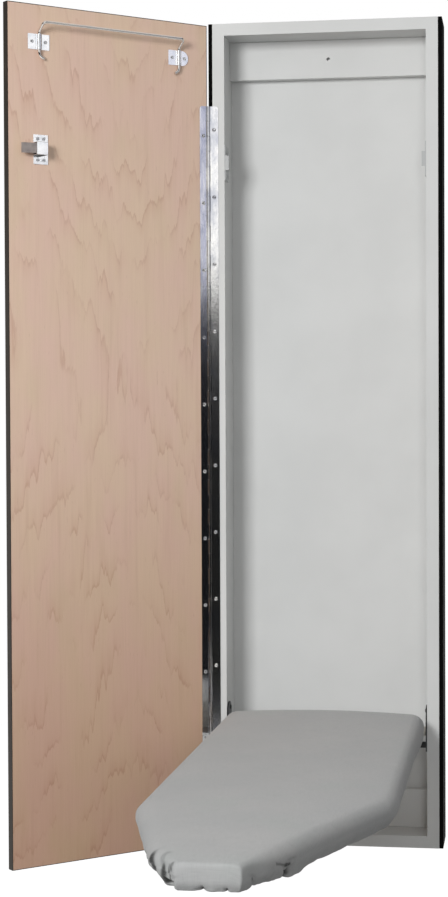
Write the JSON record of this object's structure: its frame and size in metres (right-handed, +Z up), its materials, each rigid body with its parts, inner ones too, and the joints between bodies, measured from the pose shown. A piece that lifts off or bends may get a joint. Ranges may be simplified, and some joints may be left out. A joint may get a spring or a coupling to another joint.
{
  "type": "mirrored ironing board cabinet",
  "caption": "Wall cabinet with a full-length mirror door, a fold-down ironing board on side pivots, a garment bar and a sprung door catch.",
  "frame": {"origin": "middle of the back panel's rear face, which lies on the wall", "axes": "+Z up, +Y into the wall, +X to the right of someone facing the cabinet"},
  "size_m": [0.6608, 1.164, 1.346],
  "materials": {
    "grey_melamine": "satin pale grey melamine on board",
    "black_laminate": "satin black laminate",
    "dark_steel": "dark zinc-phosphate steel",
    "grey_enamel": "pale grey enamel",
    "nickel": "bright nickel plate",
    "zinc": "bright zinc plate",
    "chrome": "polished chrome plate",
    "spring_steel": "drawn spring wire",
    "grey_steel": "grey powder coat",
    "nylon": "natural nylon",
    "black_rubber": "matt rubber",
    "maple_veneer": "pale maple veneer, satin lacquer",
    "mirror": "silvered glass",
    "plywood": "birch plywood",
    "felt": "needled felt",
    "cotton": "grey plain-weave cotton",
    "elastic": "woven elastic"
  },
  "bodies": {
    "cabinet": {"side_panel_left": "grey_melamine", "side_panel_right": "grey_melamine", "top_panel": "grey_melamine", "bottom_panel": "grey_melamine", "back_panel": "grey_melamine", "upper_cleat": "grey_melamine", "lower_cleat": "grey_melamine", "side_skin_left": "black_laminate", "side_skin_right": "black_laminate", "carcass_screws": "dark_steel", "hinge_leaf_cabinet": "nickel", "hinge_pin": "nickel", "hinge_screws_cabinet": "nickel", "keeper_left": "grey_enamel", "keeper_right": "grey_enamel", "keeper_screws": "grey_enamel", "pivot_bracket_left": "dark_steel", "pivot_bracket_right": "dark_steel", "bracket_screws": "dark_steel", "pivot_bolt_left": "dark_steel", "pivot_bolt_right": "dark_steel", "pivot_spacers": "nylon", "stop_pin_left": "dark_steel", "stop_pin_right": "dark_steel", "stop_sleeves": "black_rubber"},
    "door": {"door_panel": "maple_veneer", "mirror_pane": "mirror", "edge_band_free": "black_laminate", "edge_band_hinge": "black_laminate", "edge_band_top": "black_laminate", "edge_band_bottom": "black_laminate", "hinge_leaf_door": "nickel", "hinge_screws_door": "nickel", "bar_strap_left": "zinc", "bar_strap_right": "zinc", "strap_screws": "zinc", "catch_plate": "zinc", "catch_housing": "zinc", "catch_screws": "zinc", "catch_spring": "spring_steel"},
    "garment_bar": {"garment_bar": "chrome"},
    "catch_tongue": {"catch_tongue": "chrome"},
    "board": {"board_deck": "plywood", "board_pad": "felt", "board_cover": "cotton", "hem_elastic": "elastic", "frame_rail_left": "grey_steel", "frame_rail_right": "grey_steel", "frame_crossbar_rear": "grey_steel", "frame_crossbar_front": "grey_steel", "ear_left": "grey_steel", "ear_right": "grey_steel", "ear_rivets": "zinc", "deck_screws": "zinc"}
  },
  "joints": [
    {"name": "door_hinge", "type": "hinge", "parent": "cabinet", "child": "door", "pos_m": [-0.1905, -0.0915, 0], "axis": [0, 0, -1], "range_deg": [-50, 43]},
    {"name": "board_fold", "type": "hinge", "parent": "cabinet", "child": "board", "pos_m": [0, -0.07, -0.485], "axis": [-1, 0, 0], "range_deg": [0, 90]},
    {"name": "bar_lift", "type": "slide", "parent": "door", "child": "garment_bar", "axis": [0, 0, 1], "range_m": [0, 0.003]},
    {"name": "tongue_slide", "type": "slide", "parent": "door", "child": "catch_tongue", "axis": [0.7278, 0.6858, 0], "range_m": [0, 0.007], "stiffness_N_per_m": 300, "springref_m": -0.003, "deforming": ["catch_spring"]}
  ]
}
